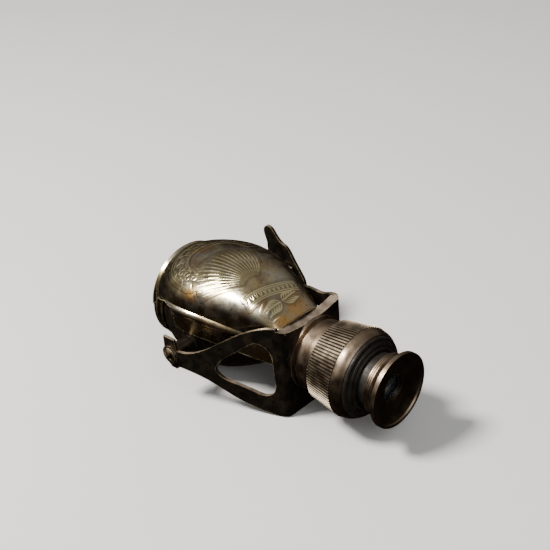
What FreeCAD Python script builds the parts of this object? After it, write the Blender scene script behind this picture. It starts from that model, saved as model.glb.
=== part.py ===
import FreeCAD, Part
import math
import os

from FreeCAD import Vector

# Pocket spyglass: a pear-shaped engraved bulb with the objective lens, hung on two
# trunnion screws between the arms of a sheet-brass yoke.  The yoke's plate carries the
# eyepiece, with a knurled focus ring.  All sizes are in millimetres.
#
# The drawing frame: X is the optical axis and points to the eye, the front face of the
# yoke plate is at X = 0, Z is up.  save() moves every piece so that the origin of the
# exported frame is the centre of the eyecup's rim.

# ---------------------------------------------------------------- driving dimensions
SHEET = 1.2            # yoke sheet
BEND_R = 3.0           # outside radius of its corners
COVER_SHEET = 0.9      # engraved cover and bulb shell
RUNNING = 0.05         # radial clearance of everything that turns or slides

PLATE_HALF_WIDTH = 16.1
PLATE_BOTTOM = -22.8
PLATE_SADDLE = 14.2    # lowest point of the plate's hollowed top edge
SADDLE_R = 64.0
FLANGE_SHEET = 0.9     # the plate's top edge is thinned where it is turned back
ARM_ROOT_TOP = 17.2
PAD_FACE = 34.2        # outer face of the arms' end pads, from the middle plane
PAD_FRONT = -41.8
PAD_BACK = -48.4
PAD_TOP = 5.2
PAD_BOTTOM = -8.2

PIVOT_X = -45.0        # trunnion axis, parallel to Y
PIVOT_Z = -2.3
PIVOT_R = 2.0

COVER_FRONT = -4.2     # narrow end of the engraved cover
COVER_BACK = -68.6     # its wide end, over the bezel
LIP_BACK = -70.0       # flared lip of the wide end
LIP_FLARE = 1.2        # how far the lip spreads sideways
LIP_RISE = 0.2         # and upwards
LIP_SHEET = 1.0
LIP_BITE = 0.25        # its root lies this far inside the cover's own faces
SKIRT_BACK = -52.0     # the side walls below the crease end here
NECK_FRONT = -66.0     # where the bulb shell's bell becomes a straight neck
BEZEL_BACK = -72.0
CAP_SEAT_FRONT = -70.2
BEZEL_R = 18.6
NECK_R = 17.2          # outside of the bulb shell where the bezel sits
THROAT_R = 8.8         # outside of its narrow end
GLASS_R = 15.0

RING_BACK = 10.1       # knurled focus ring
KNURL_END = 23.0
RING_FRONT = 27.4
KNURL_R = 18.3         # at its front; the ring narrows towards the plate
KNURL_BACK_R = 16.3
KNURL_DEPTH = 0.55
KNURL_COUNT = 88
SLEEVE_R = 13.4        # fixed sleeve that the ring turns on
STUB_R = 12.2          # barrel's threaded stub through the plate
TUBE_R = 11.2          # sliding ocular tube
TUBE_BACK = -1.0
LENS_R = 9.95          # eyepiece lenses and their spacers
EYECUP_BACK = 34.2
NOSE_FRONT = 36.6      # threaded nose of the tube, inside the eyecup
NOSE_R = 9.9
EYECUP_RIM = 41.4
EYECUP_RIM_R = 15.0
RIM_LAND = 1.6         # straight land at the eyecup's rim
EYE_HOLE_R = 5.4

X_AXIS = Vector(1, 0, 0)
Y_AXIS = Vector(0, 1, 0)
ORIGIN_SHIFT = Vector(-EYECUP_RIM, 0, 0)


# ------------------------------------------------------------------- small shape tools
def save(name, *solids):
    """Write one node.  Several separate solids become a group."""
    shape = solids[0] if len(solids) == 1 else Part.makeCompound(list(solids))
    moved = shape.copy()
    moved.translate(ORIGIN_SHIFT)
    moved.exportStep(os.path.join("parts", name + ".step"))


def rod(start, axis, radius, length):
    return Part.makeCylinder(radius, length, start, axis)


def spline_edge(points):
    curve = Part.BSplineCurve()
    curve.interpolate(points)
    return curve.toShape()


def line_edges(points):
    return [Part.makeLine(a, b) for a, b in zip(points, points[1:])]


def at_radius(profile):
    """(x, radius) pairs as points of the half plane that is turned about X."""
    return [Vector(x, radius, 0) for x, radius in profile]


def turn_edges(edges):
    """Turn a closed chain of edges about the optical axis."""
    face = Part.Face(Part.Wire(Part.__sortEdges__(edges)))
    return face.revolve(Vector(0, 0, 0), X_AXIS, 360)


def turned(profile):
    """A turned solid with straight outlines, from a closed list of (x, radius)."""
    points = at_radius(profile)
    return turn_edges(line_edges(points + points[:1]))


def ring(back, front, bore, radius):
    return turned([(back, bore), (front, bore), (front, radius), (back, radius)])


def prism_y(edges, half_depth):
    """A flat outline in the XZ plane, pulled out to both sides along Y."""
    face = Part.Face(Part.Wire(Part.__sortEdges__(edges)))
    face.translate(Vector(0, -half_depth, 0))
    return face.extrude(Vector(0, 2 * half_depth, 0))


def flat_points(pairs, y=0):
    return [Vector(x, y, z) for x, z in pairs]


# --------------------------------------------------------------------------- the yoke
def yoke_band():
    """Plate, two flared arms and two end pads, as one tall bent strip."""
    outer = [
        (0, -PLATE_HALF_WIDTH), (PAD_FRONT, -PAD_FACE), (PAD_BACK, -PAD_FACE),
        (PAD_BACK, -PAD_FACE + SHEET), (PAD_FRONT, -PAD_FACE + SHEET),
        (-SHEET, -PLATE_HALF_WIDTH + SHEET),
    ]
    outline = outer + [(x, -y) for x, y in reversed(outer)]
    points = [Vector(x, y, PLATE_BOTTOM) for x, y in outline]
    band = Part.Face(Part.makePolygon(points + points[:1])).extrude(
        Vector(0, 0, ARM_ROOT_TOP - PLATE_BOTTOM + 1))
    band = band.makeFillet(BEND_R, upright_edges_at(band, 0))
    return band.makeFillet(BEND_R - SHEET, upright_edges_at(band, -SHEET))


def upright_edges_at(solid, x):
    """The vertical edges of a solid that stand at one x."""
    found = []
    for edge in solid.Edges:
        a, b = [vertex.Point for vertex in edge.Vertexes]
        upright = abs(a.x - b.x) + abs(a.y - b.y) < 1e-6
        if upright and abs(a.x - x) < 1e-6:
            found.append(edge)
    return found


# Top edges of the two arms, from the plate to the pads.  The far one falls away sooner.
NEAR_ARM_TOP = [(-5, 17.4), (-12.6, 15.0), (-21.5, 9.6), (-31.7, 2.4), (-38.0, 0.0)]
FAR_ARM_TOP = [(-5, 15.4), (-11.0, 11.9), (-17.4, 8.9), (-25.0, 6.2), (-32.0, 2.8), (-38.0, 0.2)]
ARM_FRONT = 2.0        # the outlines run out past the plate's face


def arm_outline(root_top, top_points):
    """An arm seen from the side: a strong root, a slim neck and a pad.

    The outline runs out below the strip, so that the strip's lower edge stays flat.
    """
    below = PLATE_BOTTOM - 0.8
    neck_top = (PAD_FRONT + 0.4, 0.4)
    neck_bottom = (PAD_FRONT + 0.6, -6.9)
    top = spline_edge(flat_points([(ARM_FRONT, root_top)] + top_points + [neck_top]))
    pad = line_edges(flat_points([
        neck_top, (PAD_FRONT - 0.6, PAD_TOP), (PAD_BACK, PAD_TOP),
        (PAD_BACK, PAD_BOTTOM + 3.0), (PAD_BACK + 3.2, PAD_BOTTOM),
        (PAD_FRONT - 0.4, PAD_BOTTOM), neck_bottom]))
    bottom = spline_edge(flat_points([
        neck_bottom, (-36.0, -8.6), (-30.0, -11.2), (-21.0, -16.6),
        (-12.0, -20.7), (-5.0, -22.6), (ARM_FRONT, below)]))
    closing = line_edges(flat_points([(ARM_FRONT, below), (ARM_FRONT, root_top)]))
    return [top] + pad + [bottom] + closing


def arm_window(rise):
    """The window's outline.  rise scales how high it reaches above the middle plane."""
    curve = Part.BSplineCurve()
    curve.interpolate(flat_points([
        (-26.8, -4.4), (-23.7, 0.2), (-17.9, 4.9 * rise), (-13.8, 8.3 * rise),
        (-10.6, 10.0 * rise), (-7.0, 8.4 * rise), (-5.0, 4.0 * rise), (-4.6, -4.5), (-5.6, -12.6),
        (-8.6, -14.1), (-12.4, -13.2), (-18.8, -10.9), (-25.0, -8.3)]), PeriodicFlag=True)
    return [curve.toShape()]


def arm_side(side, root_top, top_points, rise):
    """Everything that one half of the yoke keeps: the arm's outline less its window."""
    reach = (PAD_FACE + 1) / 2
    half = prism_y(arm_outline(root_top, top_points), reach)
    half = half.cut(prism_y(arm_window(rise), reach + 1))
    half.translate(Vector(0, side * reach, 0))
    return half


def saddle(radius, length):
    """Round bar above the plate whose underside is the saddle of the plate's top edge."""
    return rod(Vector(ARM_FRONT - length, 0, PLATE_SADDLE + SADDLE_R), X_AXIS, radius, length)


def top_flange():
    """The plate's top edge, turned back towards the bulb, with a tongue under the cover."""
    depth = 4.0
    half_width = PLATE_HALF_WIDTH - 0.8
    tongue_length = 1.6
    tongue_width = 9.0
    bottom = PLATE_SADDLE - 2
    height = 6
    wide = Part.makeBox(depth, 2 * half_width, height, Vector(-depth, -half_width, bottom))
    tongue = Part.makeBox(tongue_length, tongue_width, height, Vector(-depth - 1.4, -8.0, bottom))
    length = 2 * depth
    sheet = saddle(SADDLE_R + FLANGE_SHEET, length).cut(saddle(SADDLE_R, length))
    return wide.fuse(tongue).common(sheet)


def yoke():
    side_view = arm_side(-1, ARM_ROOT_TOP, NEAR_ARM_TOP, 1.0).fuse(
        arm_side(1, ARM_ROOT_TOP - 0.6, FAR_ARM_TOP, 0.4))
    body = yoke_band().common(side_view).cut(saddle(SADDLE_R, 5.2)).fuse(top_flange())
    body = body.cut(rod(Vector(-3, 0, 0), X_AXIS, STUB_R, 6))
    for side in (-1, 1):
        hole = rod(Vector(PIVOT_X, side * (PAD_FACE - 3), PIVOT_Z), Y_AXIS * side,
                   PIVOT_R + RUNNING, 6)
        body = body.cut(hole)
    return body.removeSplitter()


# --------------------------------------------------------- fixed parts of the eyepiece
def eyepiece_barrel():
    """Collar against the plate, with the sleeve that the focus ring turns on."""
    bore = TUBE_R + RUNNING
    body = turned([
        (-3.6, bore), (-3.6, STUB_R), (0, STUB_R), (0, 14.9), (1.6, 14.9), (2.0, 13.3),
        (2.8, 13.3), (3.4, 14.1), (7.8, 14.5), (9.6, 14.1), (9.6, SLEEVE_R),
        (24.2, SLEEVE_R), (24.2, bore)])
    key_hole = rod(Vector(6.0, 0, -20), Vector(0, 0, 1), 0.9, 20)
    return body.cut(key_hole)


def barrel_nut():
    """Ring nut behind the plate, with two spanner notches."""
    nut_r = STUB_R + 1.0
    nut = ring(-3.6, -SHEET, STUB_R, nut_r)
    for side in (-1, 1):
        nut = nut.cut(Part.makeBox(1.0, 1.4, 2, Vector(-3.7, side * nut_r - 0.7, -1)))
    return nut


def focus_key():
    """Pin that keeps the ocular tube from turning; it runs in the tube's slot."""
    return rod(Vector(6.0, 0, -SLEEVE_R + 0.3), Vector(0, 0, 1), 0.9, 2.6)


def ring_stop():
    """Snap ring at the sleeve's end that holds the focus ring on."""
    return ring(23.0, 23.8, SLEEVE_R, SLEEVE_R + 0.8)


# -------------------------------------------------------------------- the focus ring
def knurl_wire(x, top_radius):
    """Cross-section of the knurl: flat-topped ridges with grooves as wide between them."""
    pitch = 2 * math.pi / KNURL_COUNT
    steps = ((0.0, 0), (0.46, 0), (0.60, 1), (0.86, 1))
    points = []
    for tooth in range(KNURL_COUNT):
        for share, low in steps:
            angle = (tooth + share) * pitch
            radius = top_radius - low * KNURL_DEPTH
            points.append(Vector(x, radius * math.cos(angle), radius * math.sin(angle)))
    return Part.makePolygon(points + points[:1])


def knurl_blank():
    """The ring's ridged cone with both ends bevelled."""
    ends = [knurl_wire(RING_BACK, KNURL_BACK_R), knurl_wire(KNURL_END, KNURL_R)]
    blank = Part.makeLoft(ends, True, True)
    bevel = 0.5
    trim = turned([
        (RING_BACK, 0), (KNURL_END, 0), (KNURL_END, KNURL_R - bevel),
        (KNURL_END - bevel, KNURL_R + 0.1), (RING_BACK + bevel, KNURL_BACK_R + 0.2),
        (RING_BACK, KNURL_BACK_R - bevel)])
    return blank.common(trim)


def focus_ring():
    crest = KNURL_R - 0.4
    shoulder_points = [(KNURL_END, crest), (24.6, crest - 0.1), (26.3, 17.3), (RING_FRONT, 16.5)]
    shoulder = turn_edges(
        line_edges(at_radius([
            shoulder_points[-1], (RING_FRONT, 0), (KNURL_END, 0), (KNURL_END, crest)]))
        + [spline_edge(at_radius(shoulder_points))])
    body = knurl_blank().fuse(shoulder)
    bearing = SLEEVE_R + RUNNING
    inside = turned([
        (RING_BACK - 1, 0), (RING_BACK - 1, bearing), (22.8, bearing), (22.8, bearing + 0.9),
        (RING_FRONT + 1, bearing + 0.9), (RING_FRONT + 1, 0)])
    return body.cut(inside).removeSplitter()


def front_ring():
    """Black stepped ring screwed into the shoulder; its thread drives the ocular tube."""
    bore = TUBE_R + RUNNING
    thread_r = SLEEVE_R + RUNNING + 0.9
    seat = RING_FRONT + 0.1
    return turned([
        (24.3, bore), (24.3, thread_r), (seat, thread_r), (seat, 16.2), (28.2, 16.1), (28.6, 15.7),
        (28.6, 14.5), (29.4, 14.3), (29.8, 13.7), (29.8, 12.6), (30.3, 12.3), (30.5, 11.9),
        (30.5, bore + 0.4), (29.6, bore)])


# ------------------------------------------------------------------- the ocular group
def ocular_tube():
    inner = 10.0
    step = EYECUP_BACK - 2.4
    seat = NOSE_FRONT - 0.8
    body = turned([
        (TUBE_BACK, inner), (TUBE_BACK, TUBE_R), (EYECUP_BACK, TUBE_R), (EYECUP_BACK, NOSE_R),
        (NOSE_FRONT, NOSE_R), (NOSE_FRONT, 8.0), (seat, 8.0), (seat, 9.0), (step, 9.0), (step, inner)])
    slot = Part.makeBox(8.6, 2.0, 4, Vector(0, -1.0, -12.5))
    return body.cut(slot)


def eyecup():
    """Short flared cup with turned ridges at its back, a dished face and a small eye hole."""
    ridges = [(EYECUP_BACK, NOSE_R), (EYECUP_BACK, 12.0)]
    for ridge in range(3):
        start = EYECUP_BACK + 0.3 + 0.85 * ridge
        crest = 12.35 + 0.1 * ridge
        ridges += [(start, crest), (start + 0.45, crest), (start + 0.65, crest - 0.25)]
    land = EYECUP_RIM - RIM_LAND
    flare = spline_edge(at_radius([ridges[-1], (37.6, 12.9), (38.8, 13.8), (land, EYECUP_RIM_R)]))
    dish_edge = (40.6, 13.7)
    dish_floor = (38.7, EYE_HOLE_R)
    rim = [
        (land, EYECUP_RIM_R), (EYECUP_RIM, EYECUP_RIM_R), (EYECUP_RIM, 14.5), (41.2, 14.1), dish_edge]
    dish = spline_edge(at_radius([dish_edge, (39.8, 12.0), (39.1, 9.6), (38.8, 7.6), dish_floor]))
    web = NOSE_FRONT + 0.1
    back = [dish_floor, (web, EYE_HOLE_R), (web, NOSE_R), (EYECUP_BACK, NOSE_R)]
    edges = line_edges(at_radius(ridges)) + [flare] + line_edges(at_radius(rim))
    return turn_edges(edges + [dish] + line_edges(at_radius(back)))


def lens(back, front, radius, back_sag, front_sag):
    """A round lens.  The sags are how far each face bulges at the middle."""
    def face_edge(x, sag):
        middle = Vector(x + sag, 0, 0)
        edge = Vector(x, radius, 0)
        if abs(sag) < 1e-6:
            return Part.makeLine(middle, edge)
        half = ((radius ** 2 + sag ** 2) / (2 * abs(sag)))
        centre = x + sag - math.copysign(half, sag)
        turn = math.asin(radius / half) / 2
        between = Vector(centre + math.copysign(half * math.cos(turn), sag), half * math.sin(turn), 0)
        return Part.Arc(middle, between, edge).toShape()

    edges = [
        face_edge(back, back_sag), face_edge(front, front_sag),
        Part.makeLine(Vector(back, radius, 0), Vector(front, radius, 0)),
        Part.makeLine(Vector(back + back_sag, 0, 0), Vector(front + front_sag, 0, 0))]
    return turn_edges(edges)


def ocular_optics():
    bore = LENS_R - 0.95
    save("eye_lens", lens(32.4, 34.6, bore - 0.05, 0, 1.1))
    save("lens_spacer", ring(14.6, 31.7, bore, LENS_R))
    save("field_stop", ring(13.8, 14.5, 6.0, LENS_R))
    save("rear_spacer", ring(4.5, 13.7, bore, LENS_R))
    save("field_lens", lens(1.4, 4.4, LENS_R, -1.2, 0))
    save("field_lens_retainer", ring(TUBE_BACK + 0.2, 0.9, bore - 0.4, LENS_R))


# --------------------------------------------------------------------------- the bulb
def shell_profile(inset):
    """Outside of the bulb shell, drawn in by inset: narrow throat, bell, lens neck."""
    bell = [(-12.0, THROAT_R), (-17.0, 10.7), (-24.0, 14.6), (-35.0, 20.2), (-47.0, 23.2),
            (-57.0, 22.2), (NECK_FRONT, NECK_R + 0.8)]
    drawn_in = [(x, radius - inset) for x, radius in bell]
    start = (-9.0, bell[0][1] - inset)
    end = [(NECK_FRONT - 0.2, NECK_R - inset), (-70.6, NECK_R - inset)]
    edges = line_edges(at_radius([start, drawn_in[0]]))
    edges.append(spline_edge(at_radius(drawn_in)))
    edges += line_edges(at_radius([drawn_in[-1]] + end + [(-70.6, 0), (-9.0, 0), start]))
    return turn_edges(edges)


def cover_section(station, inset, drop):
    """One closed cross-section of the cover: crown, crease, a ledge and leaning side walls."""
    x, half_width, crown, crease, hem, shift, squareness, ledge = station
    wide = half_width - inset
    rise = crown - inset - crease
    arc = []
    for step in range(17):
        angle = math.pi * step / 16
        across = math.copysign(abs(math.cos(angle)) ** (2 / squareness), math.cos(angle))
        up = math.sin(angle) ** (2 / squareness) if 0 < step < 16 else 0.0
        arc.append(Vector(x, shift + wide * across, crease + rise * up))

    ledge_height = crease - 1.5
    lean = 0.05 * half_width / (ledge_height - hem)

    def wall(side):
        heights = (ledge_height, ledge_height - 2.5, hem - drop)
        return [Vector(x, shift + side * (wide + ledge - lean * (ledge_height - z)), z) for z in heights]

    ledge_right, low_right, foot_right = wall(1)
    ledge_left, low_left, foot_left = wall(-1)
    return Part.Wire([
        Part.makeLine(foot_right, low_right), spline_edge([low_right, ledge_right, arc[0]]),
        spline_edge(arc), spline_edge([arc[-1], ledge_left, low_left]),
        Part.makeLine(low_left, foot_left), Part.makeLine(foot_left, foot_right)])


# x, half width, crown height, crease height, hem height, sideways shift, squareness, ledge.
# The throat of the cover is nearly square and stands to one side; the ledge is how far
# the side walls stand out below the crease.
COVER_STATIONS = (
    (COVER_FRONT, 12.2, 16.1, 10.8, -2.4, -3.75, 3.5, 0.0),
    (-12.0, 14.6, 21.0, 9.8, -1.2, -2.2, 2.9, 0.3),
    (-24.0, 18.9, 25.1, 10.8, 0.4, -0.9, 2.4, 0.8),
    (-36.0, 22.6, 26.9, 12.3, 1.7, 0.0, 2.15, 1.2),
    (-47.0, 24.5, 26.8, 13.2, 2.6, 0.0, 2.0, 1.3),
    (-58.0, 23.2, 25.2, 12.4, 3.2, 0.0, 2.0, 1.0),
    (NECK_FRONT, 20.2, 23.3, 9.4, 2.0, 0.0, 2.0, 0.4),
    (COVER_BACK, 18.9, 22.3, 6.4, 0.5, 0.0, 2.0, 0.0),
)


def cover_loft(inset, drop):
    sections = [cover_section(station, inset, drop) for station in COVER_STATIONS]
    return Part.makeLoft(sections, True, False)


def crown_section(x, half_width, crown, crease):
    """Upper half of an ellipse above the crease, closed along the crease."""
    middle = Vector(x, 0, crease)
    ends = [middle + Vector(0, side * half_width, 0) for side in (1, -1)]
    arc = []
    for step in range(13):
        angle = math.pi * step / 12
        arc.append(middle + Vector(0, half_width * math.cos(angle), (crown - crease) * math.sin(angle)))
    return Part.Wire([spline_edge(arc), Part.makeLine(ends[1], ends[0])])


def crown_lip():
    """Lip round the crown's wide end that flares sideways, down past the crease on both sides."""
    _, half_width, crown, crease = COVER_STATIONS[-1][:4]
    start = COVER_BACK + 0.3
    end_width = half_width + LIP_FLARE
    end_crown = crown + LIP_RISE
    end_crease = crease - 2 * LIP_FLARE
    outer = Part.makeLoft([
        crown_section(start, half_width - LIP_BITE, crown - LIP_BITE, crease),
        crown_section(LIP_BACK, end_width, end_crown, end_crease)], True, True)
    bore = COVER_SHEET + LIP_BITE
    inner = Part.makeLoft([
        crown_section(start + 0.1, half_width - bore, crown - bore, crease),
        crown_section(LIP_BACK - 0.1, end_width - LIP_SHEET, end_crown - LIP_SHEET, end_crease - 1)],
        True, True)
    return outer.cut(inner)


def skirt_trim():
    """What the side walls lose at the wide end: everything just below the crease."""
    edge = [(x, crease - 0.4) for x, _, _, crease, *_ in COVER_STATIONS[-3:]]
    beyond = LIP_BACK - 2
    outline = flat_points(
        [(SKIRT_BACK, PLATE_BOTTOM), (SKIRT_BACK, edge[0][1])] + edge
        + [(beyond, edge[-1][1]), (beyond, PLATE_BOTTOM)])
    return prism_y(line_edges(outline + outline[:1]), PAD_FACE)


def cover_posts(inside_of_cover, shell_outside):
    """Turned posts soldered between shell and cover."""
    posts = []
    for x, y in ((-26, 9), (-26, -9), (-54, 11), (-54, -11)):
        post = rod(Vector(x, y, 5), Vector(0, 0, 1), 1.5, 30)
        posts.append(post.common(inside_of_cover).cut(shell_outside))
    return posts


def bezel():
    """Screwed on round the neck: a short seat for a cap outside the cover's lip, then a bead."""
    bead_r = BEZEL_R + 0.4
    waist_r = BEZEL_R - 0.2
    bevel = 0.4
    mouth_r = GLASS_R - 0.4
    front = NECK_FRONT - 0.3
    return turned([
        (BEZEL_BACK, mouth_r), (BEZEL_BACK, BEZEL_R - bevel), (BEZEL_BACK + bevel, BEZEL_R),
        (CAP_SEAT_FRONT, BEZEL_R), (CAP_SEAT_FRONT, waist_r), (-67.6, waist_r), (-67.2, bead_r),
        (front, bead_r), (front, NECK_R), (-70.6, NECK_R), (-70.6, GLASS_R + 0.6),
        (-71.2, mouth_r)])


def objective():
    neck_bore = NECK_R - COVER_SHEET
    cell = turned([
        (-70.4, GLASS_R + 0.1), (-70.4, neck_bore), (-62.0, neck_bore), (-62.0, 16.2),
        (-60.0, 16.2), (-60.0, 14.0), (-61.4, 14.0), (-61.4, GLASS_R + 0.1)])
    save("objective_cell", cell)
    glass_back, glass_mid, glass_front = -66.4, -64.2, -61.5
    save("objective_crown_lens", lens(glass_back, glass_mid, GLASS_R, -1.9, 1.4))
    save("objective_flint_lens", lens(glass_mid, glass_front, GLASS_R, 1.4, 0))
    save("objective_retainer", ring(-69.6, -66.9, 13.9, GLASS_R + 0.1))


def light_stop(shell_inside):
    """Blackened diaphragm across the bell."""
    return ring(-38.6, -38.0, 12.0, 26.0).common(shell_inside)


def trunnion_bosses(shell_outside):
    bosses = []
    face = PAD_FACE - SHEET - 0.1
    for side in (-1, 1):
        centre = Vector(PIVOT_X, side * 18.0, PIVOT_Z)
        foot = rod(centre, Y_AXIS * side, 4.2, 6.2)
        stem = rod(centre, Y_AXIS * side, 3.3, face - 18.0)
        thread = rod(Vector(PIVOT_X, side * (face - 6.5), PIVOT_Z), Y_AXIS * side, 1.5, 10)
        bosses.append(foot.fuse(stem).cut(shell_outside).cut(thread).removeSplitter())
    return bosses


def pivot_screw(side, shoulder_length):
    """Shouldered screw: thread in the boss, shoulder in the pad, slotted head outside."""
    base = PAD_FACE - SHEET - 0.1
    axis = Y_AXIS * side

    def place(distance):
        return Vector(PIVOT_X, side * distance, PIVOT_Z)

    shoulder_end = base + shoulder_length
    screw = rod(place(base - 6.0), axis, 1.5, 6.0)
    screw = screw.fuse(rod(place(base), axis, PIVOT_R, shoulder_length))
    head = Part.makeSphere(4.6, place(shoulder_end - 3.4))
    head = head.common(rod(place(shoulder_end), axis, 3.1, 3.0))
    slot_middle = side * (shoulder_end + 1.6)
    slot = Part.makeBox(8, 2, 0.7, Vector(PIVOT_X - 4, slot_middle - 1, PIVOT_Z - 0.35))
    slot.rotate(place(0), Y_AXIS, 35)
    return screw.fuse(head.cut(slot)).removeSplitter()


def pad_washer(side):
    start = Vector(PIVOT_X, side * (PAD_FACE + 0.05), PIVOT_Z)
    outer = rod(start, Y_AXIS * side, 3.9, 0.6)
    return outer.cut(rod(start, Y_AXIS * side, PIVOT_R + RUNNING, 0.6))


# --------------------------------------------------------------------- the leaf lever
LEVER_BACK = PAD_FACE + 0.75
LEVER_THICK = 1.4


def leaf_lever():
    """Leaf-shaped thumb lever on the far trunnion, with a waist below its tip."""
    right = spline_edge(flat_points([
        (-47.1, 13.8), (-45.3, 12.6), (-42.7, 8.9), (-39.3, 4.0), (-36.5, -1.2), (-37.9, -6.4),
        (-42.4, -9.9), (-47.9, -8.6), (-51.7, -3.4), (-54.7, 1.8), (-56.6, 7.0),
        (-57.0, 12.2)], LEVER_BACK))
    tip = spline_edge(flat_points([
        (-57.0, 12.2), (-58.2, 15.6), (-58.4, 18.4), (-57.0, 20.1), (-54.5, 19.9), (-52.1, 17.4),
        (-49.7, 15.0), (-47.1, 13.8)], LEVER_BACK))
    blade = Part.Face(Part.Wire([right, tip])).extrude(Vector(0, LEVER_THICK, 0))
    eye = rod(Vector(PIVOT_X, LEVER_BACK, PIVOT_Z), Y_AXIS, 4.6, LEVER_THICK + 0.6)
    hole = rod(Vector(PIVOT_X, LEVER_BACK - 1, PIVOT_Z), Y_AXIS, PIVOT_R + RUNNING, 6)
    return blade.fuse(eye).cut(hole).removeSplitter()


# ---------------------------------------------------------------------------- the lot
def main():
    os.makedirs("parts", exist_ok=True)

    save("yoke", yoke())
    save("eyepiece_barrel", eyepiece_barrel())
    save("barrel_nut", barrel_nut())
    save("focus_key", focus_key())
    save("focus_ring_stop", ring_stop())

    save("focus_ring", focus_ring())
    save("front_ring", front_ring())

    save("ocular_tube", ocular_tube())
    save("eyecup", eyecup())
    ocular_optics()

    shell_outside = shell_profile(0)
    shell_inside = shell_profile(COVER_SHEET)
    cover_inside = cover_loft(COVER_SHEET, 6)
    save("bulb_shell", shell_outside.cut(shell_inside))
    save("throat_ring", ring(-11.6, -9.0, THROAT_R, THROAT_R + 0.7))
    cover = cover_loft(0, 0).cut(cover_inside).cut(skirt_trim()).fuse(crown_lip())
    save("engraved_cover", cover.removeSplitter())
    save("cover_posts", *cover_posts(cover_inside, shell_outside))
    save("bezel", bezel())
    objective()
    save("light_stop", light_stop(shell_inside))
    save("trunnion_bosses", *trunnion_bosses(shell_outside))
    near_shoulder = SHEET + 0.95
    save("near_pivot_screw", pivot_screw(-1, near_shoulder))
    save("far_pivot_screw", pivot_screw(1, near_shoulder + LEVER_THICK + 0.65))
    save("pad_washers", pad_washer(-1), pad_washer(1))
    save("leaf_lever", leaf_lever())


main()
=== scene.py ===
import math
from collections import namedtuple

import bmesh
import bpy
import numpy as np
from mathutils import Matrix, Vector
from mathutils.bvhtree import BVHTree


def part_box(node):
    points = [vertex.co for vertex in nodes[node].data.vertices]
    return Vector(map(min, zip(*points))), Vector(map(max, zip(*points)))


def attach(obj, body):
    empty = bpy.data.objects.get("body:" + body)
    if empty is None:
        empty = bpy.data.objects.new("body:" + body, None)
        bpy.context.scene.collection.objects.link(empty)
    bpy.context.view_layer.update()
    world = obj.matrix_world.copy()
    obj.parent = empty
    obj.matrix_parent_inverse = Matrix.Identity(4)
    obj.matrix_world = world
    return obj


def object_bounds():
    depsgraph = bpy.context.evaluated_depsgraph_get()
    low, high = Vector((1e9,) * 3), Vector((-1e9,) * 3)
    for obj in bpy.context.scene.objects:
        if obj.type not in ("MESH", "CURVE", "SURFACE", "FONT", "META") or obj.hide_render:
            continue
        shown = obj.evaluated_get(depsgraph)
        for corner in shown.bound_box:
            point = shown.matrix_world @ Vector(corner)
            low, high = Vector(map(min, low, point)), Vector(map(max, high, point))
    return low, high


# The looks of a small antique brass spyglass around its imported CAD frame.  Metres, +Z up, the optical
# axis along X with the eyecup's rim at the origin and the wide end of the bulb at negative X.

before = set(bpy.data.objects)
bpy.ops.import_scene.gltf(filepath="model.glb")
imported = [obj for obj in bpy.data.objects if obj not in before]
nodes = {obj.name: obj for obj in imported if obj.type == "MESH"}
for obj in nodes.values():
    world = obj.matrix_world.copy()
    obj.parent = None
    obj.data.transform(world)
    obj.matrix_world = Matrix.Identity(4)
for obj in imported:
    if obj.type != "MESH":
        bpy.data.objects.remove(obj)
cad_low, cad_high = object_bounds()

MM = 0.001
MICRON = 0.000001

# What the looks are measured from: the cover's two ends, and the back of the knurled ring.
cover_wide_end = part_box("engraved_cover")[0].x
cover_narrow_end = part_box("engraved_cover")[1].x
ring_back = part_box("focus_ring")[0].x

# ------------------------------------------------------------------ colours
OLIVE_BRASS = (0.52, 0.43, 0.24)
BROWN_PATINA = (0.27, 0.145, 0.07)
GREY_PATINA = (0.44, 0.41, 0.33)
ORANGE_PATINA = (0.66, 0.34, 0.08)
FIELD_STAIN = (0.17, 0.14, 0.075)
PALE_GOLD = (0.90, 0.80, 0.48)
RUBBED_GOLD = (0.74, 0.60, 0.36)
SOOT = (0.012, 0.009, 0.007)
OXIDE = (0.022, 0.018, 0.013)
WARM_OXIDE = (0.048, 0.033, 0.021)
# painted highlight: the lighter brown put on the sheet parts' faces that look up
TOP_HIGHLIGHT_BROWN = (0.30, 0.235, 0.18)
BRONZE = (0.27, 0.205, 0.145)
BRONZE_DARK = (0.18, 0.13, 0.088)
BRONZE_PALE = (0.50, 0.42, 0.31)
BEZEL_BROWN = (0.13, 0.085, 0.050)
LENS_TINT = (0.20, 0.22, 0.25)
GRIME = (0.05, 0.035, 0.02)


# ------------------------------------------------------------------ node helpers
def feed(tree, target, value):
    """Links a socket to an input, or sets the input's own value."""
    if isinstance(value, bpy.types.NodeSocket):
        tree.links.new(value, target)
    elif isinstance(value, tuple) and len(target.default_value) == 4:
        target.default_value = (*value, 1.0)
    else:
        target.default_value = value


def calc(tree, operation, first, second=0.0):
    """A Math node's result."""
    made = tree.nodes.new("ShaderNodeMath")
    made.operation = operation
    feed(tree, made.inputs[0], first)
    feed(tree, made.inputs[1], second)
    return made.outputs[0]


def ramp(tree, value, low, high, start=0.0, end=1.0):
    """value taken from low..high to start..end with smooth ends, and held there outside."""
    made = tree.nodes.new("ShaderNodeMapRange")
    made.interpolation_type = "SMOOTHSTEP"
    feed(tree, made.inputs["Value"], value)
    feed(tree, made.inputs["From Min"], low)
    feed(tree, made.inputs["From Max"], high)
    feed(tree, made.inputs["To Min"], start)
    feed(tree, made.inputs["To Max"], end)
    return made.outputs["Result"]


MIX_FACTOR = 0
MIX_FIRST = 6      # the Mix node's sockets when it mixes colours
MIX_SECOND = 7
MIX_RESULT = 2


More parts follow.
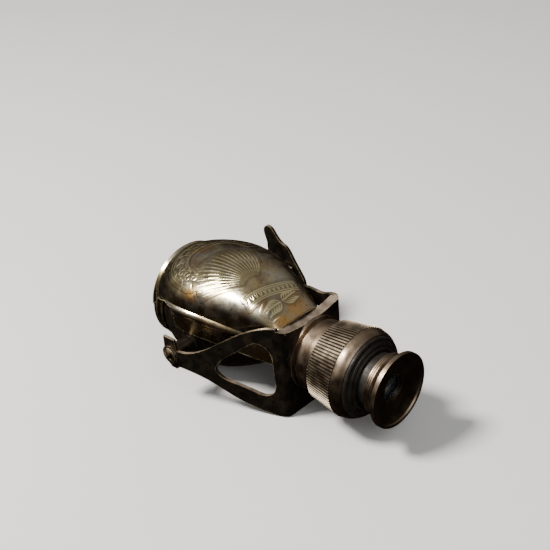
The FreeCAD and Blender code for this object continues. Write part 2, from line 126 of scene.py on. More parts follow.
def tint(tree, factor, first, second):
    """A colour between two colours."""
    made = tree.nodes.new("ShaderNodeMix")
    made.data_type = "RGBA"
    feed(tree, made.inputs[MIX_FACTOR], factor)
    feed(tree, made.inputs[MIX_FIRST], first)
    feed(tree, made.inputs[MIX_SECOND], second)
    return made.outputs[MIX_RESULT]


def layered(tree, base, *coats):
    """A colour under coats of others, each a (mask, colour) pair."""
    for mask, colour in coats:
        base = tint(tree, mask, base, colour)
    return base


def coordinates(tree, kind):
    """A point's own "Object" place in metres, its "Normal", or its "Generated" direction."""
    return tree.nodes.new("ShaderNodeTexCoord").outputs[kind]


def parts_of(tree, vector):
    """A vector's parts, by the names "X", "Y" and "Z"."""
    made = tree.nodes.new("ShaderNodeSeparateXYZ")
    feed(tree, made.inputs[0], vector)
    return made.outputs


def painted(tree, layer):
    """A value kept at the mesh's points; 0 on a mesh that has no such layer."""
    made = tree.nodes.new("ShaderNodeAttribute")
    made.attribute_name = layer
    return made.outputs["Fac"]


def place(tree, stretch=(1.0, 1.0, 1.0), shift=(0.0, 0.0, 0.0)):
    """Positions on the part in metres, stretched along the axes and moved."""
    mapping = tree.nodes.new("ShaderNodeMapping")
    feed(tree, mapping.inputs["Vector"], coordinates(tree, "Object"))
    mapping.inputs["Scale"].default_value = stretch
    mapping.inputs["Location"].default_value = shift
    return mapping.outputs[0]


def noise(tree, size, detail=4.0, warp=0.0, stretch=(1.0, 1.0, 1.0), shift=(0.0, 0.0, 0.0)):
    """Cloudy noise about 0.5 whose blotches are about `size` metres across."""
    made = tree.nodes.new("ShaderNodeTexNoise")
    feed(tree, made.inputs["Vector"], place(tree, stretch, shift))
    made.inputs["Scale"].default_value = 1.0 / size
    made.inputs["Detail"].default_value = detail
    made.inputs["Distortion"].default_value = warp
    return made.outputs[0]


def clouds(tree, size, span, low=0.0, high=1.0, **look):
    """A value that goes from low to high as the noise goes over its span."""
    return ramp(tree, noise(tree, size, **look), *span, low, high)


def turning_marks(tree, pitch):
    """The fine rings a lathe leaves around the optical axis."""
    made = tree.nodes.new("ShaderNodeTexNoise")
    made.noise_dimensions = "1D"
    feed(tree, made.inputs["W"], parts_of(tree, place(tree))["X"])
    made.inputs["Scale"].default_value = 1.0 / pitch
    made.inputs["Detail"].default_value = 3.0
    return made.outputs[0]


Wear = namedtuple("Wear", "radius grain reach")
SHEET_WEAR = Wear(radius=0.40 * MM, grain=4 * MM, reach=(0.11, 0.24))
SOFT_WEAR = Wear(radius=0.30 * MM, grain=3 * MM, reach=(0.03, 0.18))
FINE_WEAR = Wear(radius=0.18 * MM, grain=1.5 * MM, reach=(0.03, 0.18))
KNURL_WEAR = Wear(radius=0.05 * MM, grain=3 * MM, reach=(0.05, 0.25))


def edge_wear(tree, wear):
    """1 on sharp edges, broken up by noise so that the rubbing looks uneven."""
    bevel = tree.nodes.new("ShaderNodeBevel")
    bevel.samples = 6
    bevel.inputs["Radius"].default_value = wear.radius
    geometry = tree.nodes.new("ShaderNodeNewGeometry")
    agreement = tree.nodes.new("ShaderNodeVectorMath")
    agreement.operation = "DOT_PRODUCT"
    feed(tree, agreement.inputs[0], bevel.outputs[0])
    feed(tree, agreement.inputs[1], geometry.outputs["Normal"])
    sharp = calc(tree, "SUBTRACT", 1.0, agreement.outputs["Value"])
    uneven = clouds(tree, wear.grain, span=(0.35, 0.60), low=0.35, detail=3.0)
    return calc(tree, "MULTIPLY", ramp(tree, sharp, *wear.reach), uneven)


def bump(tree, height, depth, below=None):
    """A normal that raises `height` (0..1) by `depth` metres, on top of another bump."""
    made = tree.nodes.new("ShaderNodeBump")
    made.inputs["Strength"].default_value = 1.0
    made.inputs["Distance"].default_value = depth
    feed(tree, made.inputs["Height"], height)
    if below is not None:
        feed(tree, made.inputs["Normal"], below)
    return made.outputs[0]


def facing(tree, axis, low, high):
    """1 where the surface looks along one of the part's own axes, "X", "Y" or "Z"."""
    return ramp(tree, parts_of(tree, coordinates(tree, "Normal"))[axis], low, high)


PATCH_CORE = 0.45       # of a patch's radius, where it starts to fade
PATCH_RAGGED = 0.8      # of its radius, how far its outline wanders


def near(tree, centre, radius):
    """1 at a point on the part, fading to 0 within `radius` metres with a ragged outline."""
    apart = tree.nodes.new("ShaderNodeVectorMath")
    apart.operation = "DISTANCE"
    feed(tree, apart.inputs[0], place(tree))
    apart.inputs[1].default_value = centre
    ragged = calc(tree, "MULTIPLY", noise(tree, 6 * MM, detail=3.0), PATCH_RAGGED * radius)
    reach = calc(tree, "ADD", apart.outputs["Value"], ragged)
    return ramp(tree, reach, radius, PATCH_CORE * radius)


def new_material(name):
    """A node material, its node tree and its main shader's inputs."""
    made = bpy.data.materials.new(name)
    made.use_nodes = True
    return made, made.node_tree, made.node_tree.nodes["Principled BSDF"].inputs


def metal(name, surface, worn_colour, wear, metallic=1.0, worn_metallic=0.8):
    """A metal whose colour, bump and roughness are each made by one of `surface`'s three functions.

    Rubbed edges scatter light, so they are less mirror-like than the faces around them.
    """
    made, tree, inputs = new_material(name)
    colour_of, normal_of, roughness_of = surface
    rubbed = edge_wear(tree, wear)
    feed(tree, inputs["Base Color"], tint(tree, rubbed, colour_of(tree), worn_colour))
    feed(tree, inputs["Normal"], normal_of(tree))
    feed(tree, inputs["Roughness"], roughness_of(tree))
    feed(tree, inputs["Metallic"], ramp(tree, rubbed, 0.0, 1.0, metallic, worn_metallic))
    return made


# ------------------------------------------------------------------ materials
CUT_LAYER = "engraving"            # how much of a cut there is at a point of the engraved skin
FIELD_LAYER = "engraved_field"     # the darker, greener metal left between the cuts

# Orange patches: place in millimetres from the middle of the cover's narrow end, and radius.
ORANGE_PATCHES = (((-39.9, -21.5, 19.5), 8.5), ((-3.4, -1.0, 18.2), 12.5),
                  ((-1.4, -10.0, 16.5), 7.5), ((-55.4, -2.0, 24.5), 8.5))


def engraved_colour(tree):
    """Brass that has gone grey and brown in clouds, with the cuts kept bright."""
    grey = clouds(tree, 9 * MM, span=(0.40, 0.62), detail=6.0, warp=0.6)
    brown = clouds(tree, 11 * MM, span=(0.45, 0.66), high=0.6, detail=7.0, warp=1.0,
                   shift=(0.31, 0.12, 0.05))
    base = layered(tree, OLIVE_BRASS, (grey, GREY_PATINA), (brown, BROWN_PATINA))
    for (x, y, z), radius in ORANGE_PATCHES:
        centre = (cover_narrow_end + x * MM, y * MM, z * MM)
        patch = calc(tree, "MULTIPLY", near(tree, centre, radius * MM), 0.65)
        base = tint(tree, patch, base, ORANGE_PATINA)
    specks = clouds(tree, 1.1 * MM, span=(0.60, 0.70), high=0.5, detail=3.0)
    field = calc(tree, "MULTIPLY", painted(tree, FIELD_LAYER), 0.55)
    cuts = calc(tree, "MULTIPLY", painted(tree, CUT_LAYER), 0.85)
    return layered(tree, base, (specks, GRIME), (field, FIELD_STAIN), (cuts, PALE_GOLD))


def engraved_normal(tree):
    """Soft dents, fine pits, and sparse scratches drawn out along the bulb."""
    dents = bump(tree, noise(tree, 14 * MM, detail=1.0), 60 * MICRON)
    pits = bump(tree, noise(tree, 0.9 * MM, detail=4.0), 12 * MICRON, below=dents)
    scratches = clouds(tree, 0.5 * MM, span=(0.60, 0.68), detail=2.0, warp=0.4,
                       stretch=(0.12, 1.0, 1.0), shift=(0.2, 0.0, 0.0))
    return bump(tree, scratches, 4 * MICRON, below=pits)


def engraved_roughness(tree):
    cloudy = clouds(tree, 5 * MM, span=(0.35, 0.70), low=0.14, high=0.28, detail=6.0)
    return calc(tree, "ADD", cloudy, calc(tree, "MULTIPLY", noise(tree, 0.7 * MM), 0.06))


def sheet_colour(tree):
    """Nearly black oxide, with a painted highlight of lighter brown on the faces that look up."""
    warm = clouds(tree, 6 * MM, span=(0.42, 0.66), detail=6.0, warp=0.5)
    soot = clouds(tree, 2 * MM, span=(0.50, 0.75), detail=5.0, shift=(0.2, 0.4, 0.1))
    patchy = clouds(tree, 2.5 * MM, span=(0.25, 0.55), low=0.55, detail=5.0)
    # painted highlight: faces that look up get a lighter brown, broken up by noise
    lit_top_highlight = calc(tree, "MULTIPLY", facing(tree, "Z", 0.80, 0.95), patchy)
    return layered(tree, OXIDE, (warm, WARM_OXIDE), (soot, SOOT), (lit_top_highlight, TOP_HIGHLIGHT_BROWN))


def sheet_normal(tree):
    hammered = bump(tree, noise(tree, 5 * MM, detail=1.0), 30 * MICRON)
    return bump(tree, noise(tree, 0.6 * MM, detail=5.0), 16 * MICRON, below=hammered)


def sheet_roughness(tree):
    return clouds(tree, 3 * MM, span=(0.35, 0.65), low=0.38, high=0.62, detail=5.0)


def shell_colour(tree):
    """Oxide with a trace of the turned metal's rings."""
    warm = clouds(tree, 7 * MM, span=(0.40, 0.65), detail=6.0, warp=0.6)
    rings = ramp(tree, turning_marks(tree, 0.8 * MM), 0.45, 0.65, 0.0, 0.25)
    return layered(tree, OXIDE, (warm, WARM_OXIDE), (rings, BRONZE_DARK))


def shell_normal(tree):
    rings = bump(tree, turning_marks(tree, 0.35 * MM), 8 * MICRON)
    return bump(tree, noise(tree, 0.7 * MM, detail=5.0), 12 * MICRON, below=rings)


def shell_roughness(tree):
    return clouds(tree, 4 * MM, span=(0.35, 0.65), low=0.33, high=0.52, detail=5.0)


def bezel_colour(tree):
    brown = clouds(tree, 6 * MM, span=(0.40, 0.64), detail=6.0, warp=0.4)
    return tint(tree, brown, OXIDE, BEZEL_BROWN)


def bronze_colour(tree):
    """Satin bronze with darker streaks around the axis."""
    pale = clouds(tree, 8 * MM, span=(0.38, 0.64), detail=6.0, warp=0.5)
    streaks = clouds(tree, 1.6 * MM, span=(0.50, 0.68), high=0.35, detail=4.0,
                     stretch=(3.0, 0.5, 0.5), shift=(0.1, 0.3, 0.2))
    return layered(tree, BRONZE_DARK, (pale, BRONZE), (streaks, BRONZE_DARK))


def bronze_normal(tree):
    rings = bump(tree, turning_marks(tree, 0.30 * MM), 7 * MICRON)
    return bump(tree, noise(tree, 0.6 * MM, detail=4.0), 8 * MICRON, below=rings)


def bronze_roughness(tree):
    return clouds(tree, 4 * MM, span=(0.35, 0.66), low=0.28, high=0.44, detail=5.0)


def eyecup_colour(tree):
    """The dished face that meets the eye is darkened; the outside is bare bronze."""
    dish = calc(tree, "MULTIPLY", facing(tree, "X", 0.30, 0.75), 0.5)
    return tint(tree, dish, bronze_colour(tree), WARM_OXIDE)


# The knurled part of the focus ring is a cone that widens towards its front.
KNURL_LENGTH = 12.9 * MM
KNURL_BACK_R = 16.3 * MM
KNURL_FRONT_R = 18.3 * MM
KNURL_SLOPE = (KNURL_FRONT_R - KNURL_BACK_R) / KNURL_LENGTH
GROOVE_SHADE = (0.12 * MM, 0.40 * MM)      # below the ridges, where the dirt starts and is thickest


def on_knurl(tree):
    """1 behind the knurl's front end, 0 on the smooth shoulder."""
    return calc(tree, "LESS_THAN", parts_of(tree, place(tree))["X"], ring_back + KNURL_LENGTH)


def below_ridges(tree):
    """How far a point of the ring lies below the cone that the ridges lie on."""
    where = parts_of(tree, place(tree))
    squares = [calc(tree, "MULTIPLY", where[axis], where[axis]) for axis in "YZ"]
    radius = calc(tree, "SQRT", calc(tree, "ADD", *squares))
    rise = calc(tree, "MULTIPLY", calc(tree, "SUBTRACT", where["X"], ring_back), KNURL_SLOPE)
    return calc(tree, "SUBTRACT", calc(tree, "ADD", rise, KNURL_BACK_R), radius)


def knurl_colour(tree):
    """Ridges rubbed pale by fingers, grooves full of old dirt."""
    knurled = on_knurl(tree)
    rubbed = calc(tree, "MULTIPLY", knurled, 0.55)
    grooves = calc(tree, "MULTIPLY", ramp(tree, below_ridges(tree), *GROOVE_SHADE, 0.0, 0.92), knurled)
    return layered(tree, bronze_colour(tree), (rubbed, BRONZE_PALE), (grooves, GRIME))


def black_colour(tree):
    return tint(tree, clouds(tree, 5 * MM, span=(0.40, 0.64), detail=5.0), SOOT, OXIDE)


def black_normal(tree):
    rings = bump(tree, turning_marks(tree, 0.30 * MM), 6 * MICRON)
    return bump(tree, noise(tree, 0.4 * MM, detail=3.0), 6 * MICRON, below=rings)


def black_roughness(tree):
    return clouds(tree, 3 * MM, span=(0.35, 0.65), low=0.42, high=0.60, detail=4.0)


def screw_colour(tree):
    return tint(tree, clouds(tree, 1.5 * MM, span=(0.40, 0.62), detail=5.0), WARM_OXIDE, BRONZE)


def screw_normal(tree):
    return bump(tree, noise(tree, 0.4 * MM, detail=4.0), 8 * MICRON)


def screw_roughness(tree):
    return clouds(tree, 1.5 * MM, span=(0.35, 0.65), low=0.28, high=0.48, detail=4.0)


def glass():
    """Old lens glass with a faint smear of dust."""
    made, tree, inputs = new_material("lens_glass")
    dust = clouds(tree, 4 * MM, span=(0.50, 0.80), high=0.45, detail=6.0)
    feed(tree, inputs["Base Color"], tint(tree, dust, LENS_TINT, GREY_PATINA))
    feed(tree, inputs["Roughness"], calc(tree, "MULTIPLY", dust, 0.12))
    feed(tree, inputs["Transmission Weight"], 0.9)
    feed(tree, inputs["IOR"], 1.52)
    return made


ENGRAVED = (engraved_colour, engraved_normal, engraved_roughness)
SHEET = (sheet_colour, sheet_normal, sheet_roughness)
SHELL = (shell_colour, shell_normal, shell_roughness)
BEZEL = (bezel_colour, shell_normal, shell_roughness)
SATIN = (bronze_colour, bronze_normal, bronze_roughness)
KNURLED = (knurl_colour, bronze_normal, bronze_roughness)
EYECUP = (eyecup_colour, bronze_normal, bronze_roughness)
BLACK = (black_colour, black_normal, black_roughness)
SCREW = (screw_colour, screw_normal, screw_roughness)


def slot_finishes():
    """The finish of each of the record's material slots."""
    return {
        "engraved_brass": metal("patinated_brass", ENGRAVED, PALE_GOLD, SHEET_WEAR,
                                worn_metallic=0.35),
        "dark_sheet_brass": metal("oxidised_sheet", SHEET, RUBBED_GOLD, SOFT_WEAR,
                                  metallic=0.85, worn_metallic=0.6),
        "dark_turned_brass": metal("dark_turned", SHELL, BRONZE, SOFT_WEAR, metallic=0.9),
        "satin_bronze": metal("satin_bronze_finish", SATIN, BRONZE_PALE, SOFT_WEAR),
        "blackened_brass": metal("black_varnish", BLACK, BRONZE_DARK, FINE_WEAR, metallic=0.5),
        "bezel_brass": metal("bezel_finish", BEZEL, RUBBED_GOLD, SOFT_WEAR, metallic=0.95),
        "screw_brass": metal("screw_finish", SCREW, PALE_GOLD, FINE_WEAR),
        "glass": glass(),
    }


def node_finishes():
    """Nodes that wear their slot's metal in their own way."""
    return {
        "focus_ring": metal("knurled_bronze", KNURLED, BRONZE_PALE, KNURL_WEAR, worn_metallic=1.0),
        "eyecup": metal("eyecup_bronze", EYECUP, BRONZE, SOFT_WEAR, worn_metallic=0.9),
    }


def finish_nodes(finishes):
    """Puts each slot's finish on every CAD node that uses the slot."""
    for node in nodes.values():
        for held in node.material_slots:
            held.material = finishes[held.material.name.split(".")[0]]
    for name, finish in node_finishes().items():
        nodes[name].material_slots[0].material = finish


# ------------------------------------------------------------------ engraving
# The engraving is laid out seen from above, in millimetres from the middle of the cover's narrow end,
# with the wide end at negative x.  A stroke is a list of (x, y) points.
def polar(centre, reach, angle):
    """The point at `reach` (x reach, y reach) and `angle` degrees from a centre."""
    turn = math.radians(angle)
    return centre[0] + reach[0] * math.cos(turn), centre[1] + reach[1] * math.sin(turn)


def curved_stroke(start, heading, length, bend, points=9):
    """A stroke that leaves `start` at `heading` degrees and turns by `bend` degrees over its length."""
    step = length / (points - 1)
    stroke = [start]
    for index in range(points - 1):
        angle = heading + bend * (index + 0.5) / (points - 1)
        stroke.append(polar(stroke[-1], (step, step), angle))
    return stroke


CURL_RADIUS = 1.9
CURL_TURNS = 1.35
CURL_CLOSING = 0.78       # how much of its radius a curl loses on its way in
CURL_POINTS = 14


def curl(centre, start, hand):
    """A spiral that winds in to its centre."""
    stroke = []
    for index in range(CURL_POINTS):
        share = index / (CURL_POINTS - 1)
        reach = CURL_RADIUS * (1.0 - CURL_CLOSING * share)
        stroke.append(polar(centre, (reach, reach), start + hand * share * CURL_TURNS * 360.0))
    return stroke


FAN_STEM = (-19.9, -6.0)
FAN_HEADING = 174.0
FAN_SPREAD = 50.0
FAN_STROKES = 17
FAN_LENGTH = 22.0
FAN_SHORTENING = 6.0       # how much shorter the outermost cuts are
FAN_HUB = (3.0, 5.0)       # where the cuts begin, around the stem
FAN_BEND = (18.0, -22.0)   # in the middle, and what an outermost cut adds to that
TIER_HUB = (13.0, 12.0)
TIER_LENGTH = 10.0
TIER_BEND = (12.0, -14.0)


def fan_stroke(heading, share, hub, length, bend, points):
    """One cut of the fan; `share` goes from -1 to 1 over the spread."""
    root = polar(FAN_STEM, hub, heading)
    length -= FAN_SHORTENING * share * share
    return curved_stroke(root, heading, length, bend[0] + bend[1] * share, points)


def palmette():
    """A fan of long curved cuts in the middle of the crown, with a second tier between them."""
    strokes = []
    pitch = 2.0 / (FAN_STROKES - 1)
    for index in range(FAN_STROKES):
        share = pitch * index - 1.0
        heading = FAN_HEADING + FAN_SPREAD * share
        strokes.append(fan_stroke(heading, share, FAN_HUB, FAN_LENGTH, FAN_BEND, points=9))
        if index < FAN_STROKES - 1:
            between = heading + FAN_SPREAD * pitch / 2.0
            strokes.append(fan_stroke(between, share, TIER_HUB, TIER_LENGTH, TIER_BEND, points=5))
    return strokes


BORDER_CENTRE = (-39.9, -1.0)
BORDER_HALF = (21.0, 19.5)
BORDER_POWER = 2.7                         # 2 would make an ellipse, more makes it squarer
BORDER_LINES = (0.0, 0.9, 6.2)
BORDER_ANGLES = range(96, 265, 4)
SCROLL_STEP = 8
SCROLL_ANGLES = range(100, 262, SCROLL_STEP)
SCROLL_INSET = 3.5
CURL_SWAY = 0.5            # how far curls and leaves stand to either side of the scroll's middle
LEAF_SWAY = 1.6
SCROLL_LEAVES = ((40, 2.6, 70), (-30, 2.2, -60))     # heading from outwards, length, bend


def border_point(angle, inset):
    """A point of the rounded square that runs round the wide end, `inset` inside its outer line."""
    across = abs(math.cos(math.radians(angle)) / (BORDER_HALF[0] - inset)) ** BORDER_POWER
    along = abs(math.sin(math.radians(angle)) / (BORDER_HALF[1] - inset)) ** BORDER_POWER
    reach = (across + along) ** (-1.0 / BORDER_POWER)
    return polar(BORDER_CENTRE, (reach, reach), angle)


def border():
    """Three lines round the wide end, with a running scroll of curls and leaves between them."""
    strokes = []
    for inset in BORDER_LINES:
        strokes.append([border_point(angle, inset) for angle in BORDER_ANGLES])
    for index, angle in enumerate(SCROLL_ANGLES):
        hand = 1 if index % 2 else -1
        outward = angle + (180 if hand > 0 else 0)
        middle = border_point(angle, SCROLL_INSET - CURL_SWAY * hand)
        strokes.append(curl(middle, angle + 90 * hand, hand))
        leaf_root = border_point(angle + SCROLL_STEP / 2, SCROLL_INSET + LEAF_SWAY * hand)
        for turn, length, bend in SCROLL_LEAVES:
            heading = outward + turn * hand
            strokes.append(curved_stroke(leaf_root, heading, length, bend * hand, points=5))
    return strokes


BAND_START = (-17.9, -13.5)
BAND_END = (-11.9, 7.0)
BAND_LINES = (0.0, 0.8, 3.6, 4.4)
BAND_TICKS = 22
TICK_FOOT = 1.4
TICK_LENGTH = 1.5
TICK_LEAN = 0.35


def ruled_band():
    """A ruled band across the narrow end, filled with a row of short slanted cuts."""
    start = Vector(BAND_START)
    along = Vector(BAND_END) - start
    across = Vector((along.y, -along.x)).normalized()
    strokes = []
    for offset in BAND_LINES:
        strokes.append([tuple(start + across * offset), tuple(start + along + across * offset)])
    for index in range(BAND_TICKS):
        foot = start + along * ((index + 0.5) / BAND_TICKS) + across * TICK_FOOT
        lean = TICK_LEAN if index % 2 else -TICK_LEAN
        strokes.append([tuple(foot), tuple(foot + across * TICK_LENGTH + along.normalized() * lean)])
    return strokes


SPRAY_CENTRE = (-7.0, -4.8)
SPRAY_GAP = 0.7
SPRAY_REACH = 8.0
SPRAY_DROOP = 0.6
SPRAY_LEAVES = 5
LEAF_START = 0.8
LEAF_PITCH = 1.25
LEAF_OFFSET = 0.5
LEAF_LEAN = 62.0
LEAF_BEND = 70.0
LEAF_LENGTH = 4.6
LEAF_SHORTENING = 0.45


def leaf_spray():
    """Two plumes of nested curved leaves that meet in the middle, near the throat."""
    x, y = SPRAY_CENTRE
    strokes = []
    for side in (-1, 1):
        strokes.append([(x, y + side * SPRAY_GAP), (x - SPRAY_DROOP, y + side * SPRAY_REACH)])
        for index in range(SPRAY_LEAVES):
            root_y = y + side * (LEAF_START + LEAF_PITCH * index)
            length = LEAF_LENGTH - LEAF_SHORTENING * index
            for edge in (-1, 1):
                root = (x + edge * LEAF_OFFSET, root_y)
                heading = (90.0 - LEAF_LEAN * edge) * side
                strokes.append(curved_stroke(root, heading, length, LEAF_BEND * side * edge, points=7))
    return strokes


def all_strokes():
    """Every cut with half its width."""
    half_widths = ((palmette, 0.30), (border, 0.26), (ruled_band, 0.24), (leaf_spray, 0.34))
    return [(stroke, half_width) for pattern, half_width in half_widths for stroke in pattern()]


# ------------------------------------------------------------------ engraved skin
# In the engraving's millimetres.
GRID_STEP = 0.19
GRID_X = ((cover_wide_end - cover_narrow_end) / MM + 1.4, -0.9)
GRID_Y = (-24.0, 24.0)
RAY_START = 0.1               # metres, well above the part
STEEPEST = 0.42               # the crown is engraved where its normal's height is more than this
SMOOTH_ROUNDS = 14
SMOOTH_SHARE = 0.2

SKIN_RISE = 0.13
SKIN_SUNK = -0.10
SKIN_THICK = 0.35
CUT_DEPTH = 0.11
FEATHER = (1.3, 2.3)          # how far from a cut the skin starts to sink into the cover, and ends
STAIN_REACH = (0.5, 1.8)
TIP_WIDTH = 0.35              # of a stroke's full width, at its ends
TIP_WIDENING = 1.6              # how fast it widens from there
CUT_SHOULDER = 1.25           # how far a cut's slope reaches, in half widths
DEEP_HALF_WIDTH = 0.22        # narrower cuts are shallower


def crown_heights(xs, ys):
    """Height of the cover's crown over a grid in plan, NaN where the crown is too steep or missing."""
    surface = BVHTree.FromObject(nodes["engraved_cover"], bpy.context.evaluated_depsgraph_get())
    down = Vector((0, 0, -1))
    heights = np.full((len(xs), len(ys)), np.nan)
    for i, x in enumerate(xs):
        for j, y in enumerate(ys):
            above = Vector((cover_narrow_end + x * MM, y * MM, RAY_START))
            spot, normal, _, _ = surface.ray_cast(above, down)
            if spot is not None and normal.z > STEEPEST:
                heights[i, j] = spot.z / MM
    return heights


def smoothed(heights):
    """Takes the CAD mesh's facets out of the heights without pulling in their rim."""
    for _ in range(SMOOTH_ROUNDS):
        bend_x = np.zeros_like(heights)
        bend_y = np.zeros_like(heights)
        bend_x[1:-1] = heights[2:] + heights[:-2] - 2 * heights[1:-1]
        bend_y[:, 1:-1] = heights[:, 2:] + heights[:, :-2] - 2 * heights[:, 1:-1]
        heights = heights + SMOOTH_SHARE * (np.nan_to_num(bend_x) + np.nan_to_num(bend_y))
    return heights


def cut_fields(xs, ys):
    """For each grid point: distance to the nearest cut, and how deep into a cut it lies (0..1)."""
    apart = np.full((len(xs), len(ys)), np.inf)
    depth = np.zeros_like(apart)
    for stroke, half_width in all_strokes():
        count = len(stroke) - 1
        for index in range(count):
            from_tip = min(index + 0.5, count - index - 0.5) / count
            width = half_width * min(1.0, TIP_WIDTH + TIP_WIDENING * from_tip)
            measure_segment(xs, ys, stroke[index], stroke[index + 1], width, apart, depth)
    return apart, depth


def grid_span(values, first, second):
    """The slice of a grid axis that lies near two places on it."""
    margin = FEATHER[1] + GRID_STEP
    return slice(*np.searchsorted(values, (min(first, second) - margin, max(first, second) + margin)))


def measure_segment(xs, ys, start, end, half_width, apart, depth):
    """Adds one straight piece of a cut to the two fields, working only on the grid near it."""
    near_x = grid_span(xs, start[0], end[0])
    near_y = grid_span(ys, start[1], end[1])
    px, py = np.meshgrid(xs[near_x], ys[near_y], indexing="ij")
    dx, dy = end[0] - start[0], end[1] - start[1]
    share = ((px - start[0]) * dx + (py - start[1]) * dy) / (dx * dx + dy * dy)
    share = np.clip(share, 0.0, 1.0)
    distance = np.hypot(px - start[0] - share * dx, py - start[1] - share * dy)
    within = np.clip(CUT_SHOULDER - distance / half_width, 0.0, 1.0)
    deepest = min(1.0, half_width / DEEP_HALF_WIDTH)
    apart[near_x, near_y] = np.minimum(apart[near_x, near_y], distance)
    depth[near_x, near_y] = np.maximum(depth[near_x, near_y], within * deepest)


def fade(values, low, high):
    """1 below low, 0 above high, smooth in between."""
    share = np.clip((values - low) / (high - low), 0.0, 1.0)
    return 1.0 - share * share * (3.0 - 2.0 * share)


def kept_cells(usable):
    """Cells whose four corners are all usable, in a fixed order."""
    cells = usable[:-1, :-1] & usable[1:, :-1] & usable[1:, 1:] & usable[:-1, 1:]
    return [tuple(cell) for cell in np.argwhere(cells).tolist()]


class SkinMesh:
    """A closed skin over some cells of a grid in plan, with two levels at every grid point."""

    def __init__(self, xs, ys, top, bottom, depth, apart):
        self.xs, self.ys = xs, ys
        self.top, self.bottom = top, bottom
        self.depth, self.apart = depth, apart
        self.built = bmesh.new()
        self.cut_layer = self.built.verts.layers.float.new(CUT_LAYER)
        self.field_layer = self.built.verts.layers.float.new(FIELD_LAYER)
        self.corners = {}

    def corner(self, spot, lowered):
        """The vertex at a grid point, made when it is first asked for."""
        if (spot, lowered) not in self.corners:
            level = self.bottom[spot] if lowered else self.top[spot]
            x = cover_narrow_end + self.xs[spot[0]] * MM
            vertex = self.built.verts.new((x, self.ys[spot[1]] * MM, level * MM))
            vertex[self.cut_layer] = 0.0 if lowered else float(self.depth[spot])
            vertex[self.field_layer] = float(fade(self.apart[spot], *STAIN_REACH))
            self.corners[spot, lowered] = vertex
        return self.corners[spot, lowered]

    def add_cell(self, cell, kept):
        """Top and bottom faces of one cell, and a wall wherever it has no neighbour."""
        i, j = cell
        ring = ((i, j), (i + 1, j), (i + 1, j + 1), (i, j + 1))
        self.built.faces.new([self.corner(spot, False) for spot in ring])
        self.built.faces.new([self.corner(spot, True) for spot in reversed(ring)])
        neighbours = ((i, j - 1), (i + 1, j), (i, j + 1), (i - 1, j))
        for side, neighbour in enumerate(neighbours):
            if neighbour not in kept:
                first, second = ring[side], ring[(side + 1) % 4]
                self.built.faces.new((self.corner(second, False), self.corner(first, False),
                                      self.corner(first, True), self.corner(second, True)))

    def finish(self, name):
        for face in self.built.faces:
            face.smooth = True
        return add_object(name, mesh_of(self.built, name))


def engraved_skin():
    """The engraving: a closed skin that rises a hair out of the crown and carries the cuts."""
    xs = np.arange(*GRID_X, GRID_STEP)
    ys = np.arange(*GRID_Y, GRID_STEP)
    heights = smoothed(crown_heights(xs, ys))
    apart, depth = cut_fields(xs, ys)
    rise = SKIN_SUNK + (SKIN_RISE - SKIN_SUNK) * fade(apart, *FEATHER)
    top = heights + rise - CUT_DEPTH * depth
    skin = SkinMesh(xs, ys, top, heights - SKIN_THICK, depth, apart)
    cells = kept_cells((apart < FEATHER[1]) & ~np.isnan(heights))
    kept = set(cells)
    for cell in cells:
        skin.add_cell(cell, kept)
    return skin.finish("engraving_skin")


# ------------------------------------------------------------------ camera and studio
VIEW_AZIMUTH = math.radians(45.3)
VIEW_ELEVATION = math.radians(31.5)
VIEW_ROLL = math.radians(-4.24)          # the object lies slightly rolled in the photo
VIEW_TARGET = (cad_low + cad_high) / 2 + Vector((-9.80, 5.575, 19.604)) * MM
VIEW_DISTANCE = 0.470
LENS_MM = 78.5
SENSOR_MM = 36.0
CLIP_START = 0.01

FLOOR_HALF = 2.0
FLOOR_PATCHES = 0.4
FLOOR_ROUGHNESS = 0.7
FLOOR_PALE = (0.80, 0.79, 0.77)
FLOOR_WARM = (0.74, 0.72, 0.69)

WORLD_PALE = (0.75, 0.75, 0.74)
WORLD_STRENGTH = 0.42
REFLECTED_ABOVE = (0.85, 0.81, 0.76)
REFLECTED_BELOW = (0.045, 0.032, 0.024)
REFLECTED_HEIGHT = 0.7        # how high the reflected sky reaches its full brightness

WARM_LIGHT = (1.0, 0.97, 0.93)
COOL_LIGHT = (0.93, 0.96, 1.0)


def direction(azimuth, elevation):
    """Unit vector from the object towards a viewer or a lamp."""
    flat = math.cos(elevation)
    return Vector((math.sin(azimuth) * flat, -math.cos(azimuth) * flat, math.sin(elevation)))


def mesh_of(built, name):
    """The finished mesh of a bmesh, which is freed."""
    mesh = bpy.data.meshes.new(name)
    built.to_mesh(mesh)
    built.free()
    return mesh


def add_object(name, data):
    made = bpy.data.objects.new(name, data)
    bpy.context.scene.collection.objects.link(made)
    return made


def make_camera():
    """The camera at the photograph's viewing angle, rolled about its line of sight."""
    back = direction(VIEW_AZIMUTH, VIEW_ELEVATION)
    level = Vector((0, 0, 1)).cross(back).normalized()
    right = Matrix.Rotation(VIEW_ROLL, 3, back) @ level
    up = back.cross(right)
    camera = add_object("camera", bpy.data.cameras.new("camera"))
    camera.data.lens = LENS_MM
    camera.data.sensor_width = SENSOR_MM
    camera.data.clip_start = CLIP_START
    turn = Matrix((right, up, back)).transposed().to_4x4()
    camera.matrix_world = Matrix.Translation(VIEW_TARGET + back * VIEW_DISTANCE) @ turn
    bpy.context.scene.camera = camera


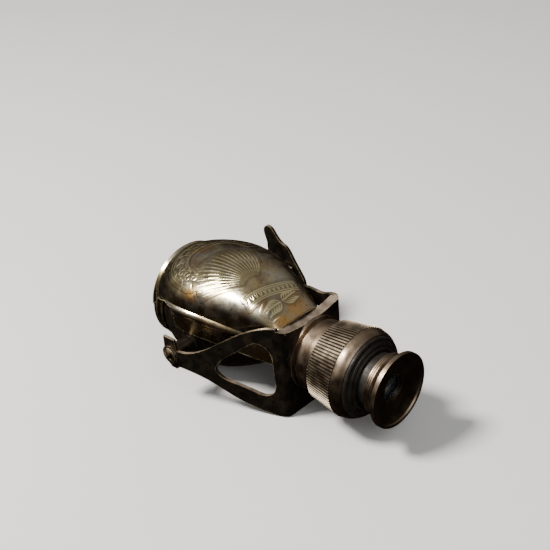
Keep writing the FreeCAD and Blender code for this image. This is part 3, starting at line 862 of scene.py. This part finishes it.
def soft_lamp(name, azimuth, elevation, distance, size, power, colour):
    """A round lamp that shines at the camera's target; angles in degrees."""
    lamp = bpy.data.lights.new(name, "AREA")
    lamp.shape = "DISK"
    lamp.size = size
    lamp.energy = power
    lamp.color = colour
    placed = add_object(name, lamp)
    away = direction(math.radians(azimuth), math.radians(elevation))
    turn = away.to_track_quat("Z", "Y").to_matrix().to_4x4()
    placed.matrix_world = Matrix.Translation(VIEW_TARGET + away * distance) @ turn


def make_world():
    """Pale to the eye and to the floor; polished metal sees a dim sky above and a dark room below."""
    world = bpy.data.worlds.new("studio")
    bpy.context.scene.world = world
    world.use_nodes = True
    world.cycles.sampling_method = "NONE"
    tree = world.node_tree
    background = tree.nodes["Background"].inputs
    glossy = tree.nodes.new("ShaderNodeLightPath").outputs["Is Glossy Ray"]
    height = parts_of(tree, coordinates(tree, "Generated"))["Z"]
    reflected = tint(tree, ramp(tree, height, 0.0, REFLECTED_HEIGHT), REFLECTED_BELOW, REFLECTED_ABOVE)
    feed(tree, background["Color"], tint(tree, glossy, WORLD_PALE, reflected))
    feed(tree, background["Strength"], WORLD_STRENGTH)


def make_floor():
    """A plain pale table top that the polished metal doesn't mirror."""
    built = bmesh.new()
    bmesh.ops.create_grid(built, x_segments=4, y_segments=4, size=FLOOR_HALF)
    floor = add_object("floor", mesh_of(built, "floor"))
    floor.location.z = cad_low.z
    floor.visible_glossy = False
    paint, tree, inputs = new_material("floor_paint")
    feed(tree, inputs["Base Color"], tint(tree, noise(tree, FLOOR_PATCHES), FLOOR_PALE, FLOOR_WARM))
    feed(tree, inputs["Roughness"], FLOOR_ROUGHNESS)
    floor.data.materials.append(paint)


# ------------------------------------------------------------------ assembly
finishes = slot_finishes()
finish_nodes(finishes)
skin = engraved_skin()
skin.data.materials.append(finishes["engraved_brass"])
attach(skin, "bulb")

make_camera()
make_world()
make_floor()
soft_lamp("key", azimuth=-40, elevation=54, distance=0.9, size=0.24, power=17.0, colour=WARM_LIGHT)
soft_lamp("fill", azimuth=70, elevation=40, distance=1.2, size=0.9, power=5.0, colour=COOL_LIGHT)
